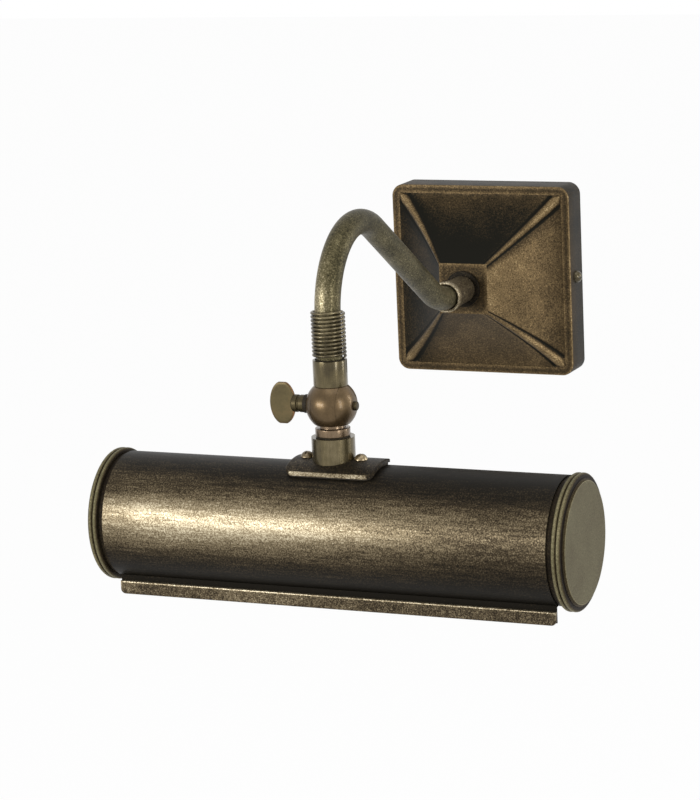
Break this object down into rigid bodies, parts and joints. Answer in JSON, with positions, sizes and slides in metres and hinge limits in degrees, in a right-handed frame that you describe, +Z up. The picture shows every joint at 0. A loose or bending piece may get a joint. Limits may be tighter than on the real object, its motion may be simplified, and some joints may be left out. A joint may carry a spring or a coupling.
{
  "type": "picture light",
  "caption": "Wall-mounted picture light: square swept backplate, swan-neck tube arm, clamped ball knuckle and a long round shade that is open along its underside.",
  "frame": {"origin": "centre of the backplate on the wall plane, midway between the two wall screw holes", "axes": "+Z up, +Y into the wall, the arm reaches out along -Y, and the shade lies along X"},
  "size_m": [0.255, 0.2653, 0.1912],
  "materials": {
    "antique_bronze": "near-black brown with sponged gold rub-through",
    "worn_bronze": "bronze rubbed light on its edges",
    "olive_brass": "smooth glossy antique brass",
    "spring_brass": "satin drawn wire",
    "screw_brass": "satin, worn",
    "contact_brass": "bright rolled",
    "zinc_steel": "zinc plated",
    "dark_fibre": "matt",
    "rubber": "moulded",
    "white_plastic": "moulded",
    "porcelain": "glazed",
    "lead_sheath": "extruded",
    "lamp_glass": "clear tube",
    "lamp_cap_metal": "rolled thread",
    "filament": "fine wire"
  },
  "bodies": {
    "wall_body": {"wall_bracket": "zinc_steel", "cable_grommet": "rubber", "backplate_cover": "antique_bronze", "cover_side_screws": "screw_brass", "terminal_block": "white_plastic", "terminal_screws": "screw_brass", "earth_screw": "screw_brass", "collar_washer": "worn_bronze", "arm_collar": "worn_bronze", "collar_lock_washer": "zinc_steel", "collar_locknut": "zinc_steel", "arm_tube": "antique_bronze", "arm_end_ferrule": "olive_brass", "arm_lead": "lead_sheath", "coil_spring": "spring_brass"},
    "swivel": {"swivel_bush": "dark_fibre", "knuckle_fork": "olive_brass"},
    "thumb": {"thumb_screw": "screw_brass", "thumb_washer": "dark_fibre"},
    "head": {"knuckle_tongue": "olive_brass", "ring_washer": "dark_fibre", "stem_collar": "olive_brass", "saddle_plate": "worn_bronze", "saddle_pad": "dark_fibre", "saddle_screws": "screw_brass", "saddle_nuts": "zinc_steel", "stem_washer": "zinc_steel", "stem_nut": "zinc_steel", "shade_shell": "antique_bronze", "shade_lip": "worn_bronze", "end_cap_left": "worn_bronze", "end_cap_right": "worn_bronze", "holder_bracket_left": "zinc_steel", "holder_bracket_right": "zinc_steel", "lampholder_left": "porcelain", "lampholder_right": "porcelain", "holder_sleeves": "contact_brass", "holder_contacts": "contact_brass", "holder_screws": "zinc_steel", "head_leads": "lead_sheath"},
    "lamp_left": {"lamp_glass_left": "lamp_glass", "lamp_cap_left": "lamp_cap_metal", "lamp_filament_left": "filament"},
    "lamp_right": {"lamp_glass_right": "lamp_glass", "lamp_cap_right": "lamp_cap_metal", "lamp_filament_right": "filament"}
  },
  "joints": [
    {"name": "head_swivel", "type": "hinge", "parent": "wall_body", "child": "swivel", "pos_m": [0, -0.2315, -0.006], "axis": [0, 0, 1], "range_deg": [-90, 90]},
    {"name": "knuckle_tilt", "type": "hinge", "parent": "swivel", "child": "head", "pos_m": [0, -0.2315, -0.0256], "axis": [1, 0, 0], "range_deg": [-80, 80]},
    {"name": "thumb_screw_turn", "type": "hinge", "parent": "swivel", "child": "thumb", "pos_m": [0, -0.2315, -0.0256], "axis": [1, 0, 0], "range_deg": [-270, 0]},
    {"name": "lamp_left_out", "type": "slide", "parent": "head", "child": "lamp_left", "axis": [1, 0, 0], "range_m": [0, 0.025]},
    {"name": "lamp_right_out", "type": "slide", "parent": "head", "child": "lamp_right", "axis": [-1, 0, 0], "range_m": [0, 0.025]}
  ]
}
